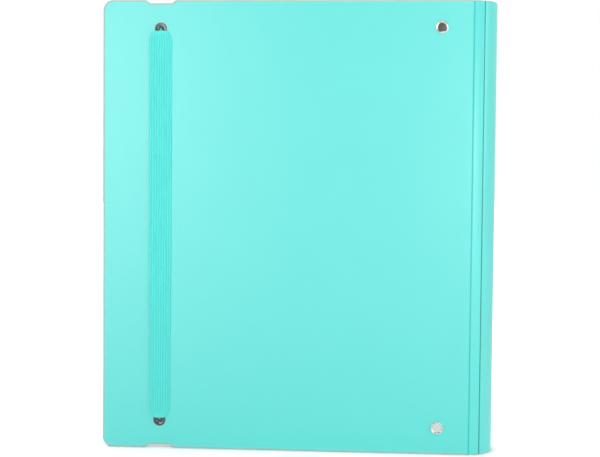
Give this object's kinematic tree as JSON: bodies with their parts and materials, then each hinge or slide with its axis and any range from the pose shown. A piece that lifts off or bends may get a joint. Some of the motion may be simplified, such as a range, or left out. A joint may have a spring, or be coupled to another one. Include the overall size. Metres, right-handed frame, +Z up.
{
  "type": "ring folder",
  "caption": "Turquoise polypropylene ring folder with a rounded spine, creased hinges, lever-opened ring metal and a ribbed elastic closure on its back cover.",
  "frame": {"origin": "bottom centre of the closed folder's bounding box, on the surface that the folder stands on", "axes": "+Z up along the covers, +X from the free edges to the spine, +Y from the back cover to the front cover"},
  "size_m": [0.264, 0.042, 0.302],
  "materials": {
    "turquoise_polypropylene": "satin extruded sheet, slightly translucent",
    "turquoise_elastic": "ribbed woven elastic",
    "nickel_plate": "bright nickel plate",
    "zinc_steel": "zinc plated steel"
  },
  "bodies": {
    "back": {"back_cover": "turquoise_polypropylene", "elastic_band": "turquoise_elastic", "upper_eyelet": "nickel_plate", "lower_eyelet": "nickel_plate", "upper_band_crimp": "nickel_plate", "lower_band_crimp": "nickel_plate", "upper_rivet": "nickel_plate", "lower_rivet": "nickel_plate", "ring_housing": "nickel_plate", "upper_lever_pin": "zinc_steel", "lower_lever_pin": "zinc_steel"},
    "back_strip": {"back_hinge_strip": "turquoise_polypropylene"},
    "spine": {"spine": "turquoise_polypropylene"},
    "front_strip": {"front_hinge_strip": "turquoise_polypropylene"},
    "front": {"front_cover": "turquoise_polypropylene"},
    "spine_side_jaw": {"spine_side_blade": "zinc_steel", "upper_spine_side_ring": "nickel_plate", "middle_spine_side_ring": "nickel_plate", "lower_spine_side_ring": "nickel_plate"},
    "edge_side_jaw": {"edge_side_blade": "zinc_steel", "upper_edge_side_ring": "nickel_plate", "middle_edge_side_ring": "nickel_plate", "lower_edge_side_ring": "nickel_plate"},
    "upper_lever": {"upper_lever": "nickel_plate"},
    "lower_lever": {"lower_lever": "nickel_plate"}
  },
  "joints": [
    {"name": "back_outer_crease", "type": "hinge", "parent": "back", "child": "back_strip", "pos_m": [0.11503, -0.0184, 0], "axis": [0, 0, -1], "range_deg": [0, 12]},
    {"name": "spine_swing", "type": "hinge", "parent": "back_strip", "child": "spine", "pos_m": [0.12187, -0.01695, 0], "axis": [0, 0, -1], "range_deg": [0, 78]},
    {"name": "front_swing", "type": "hinge", "parent": "spine", "child": "front_strip", "pos_m": [0.12187, 0.01895, 0], "axis": [0, 0, -1], "range_deg": [0, 78]},
    {"name": "front_outer_crease", "type": "hinge", "parent": "front_strip", "child": "front", "pos_m": [0.11503, 0.0204, 0], "axis": [0, 0, -1], "range_deg": [0, 12]},
    {"name": "ring_opening", "type": "hinge", "parent": "back", "child": "spine_side_jaw", "pos_m": [0.1038, -0.0147, 0.151], "axis": [0, 0, -1], "range_deg": [0, 24]},
    {"name": "edge_side_opening", "type": "hinge", "parent": "back", "child": "edge_side_jaw", "pos_m": [0.08525, -0.0147, 0.151], "axis": [0, 0, 1], "range_deg": [0, 24]},
    {"name": "upper_lever_turn", "type": "hinge", "parent": "back", "child": "upper_lever", "pos_m": [0.09453, -0.0136, 0.2924], "axis": [1, 0, 0], "range_deg": [0, 32]},
    {"name": "lower_lever_turn", "type": "hinge", "parent": "back", "child": "lower_lever", "pos_m": [0.09453, -0.0136, 0.0096], "axis": [-1, 0, 0], "range_deg": [0, 32]}
  ],
  "couplings": [
    {"joint": "edge_side_opening", "follows": "ring_opening", "ratio": 1},
    {"joint": "upper_lever_turn", "follows": "ring_opening", "ratio": 1.3333},
    {"joint": "lower_lever_turn", "follows": "ring_opening", "ratio": 1.3333}
  ]
}
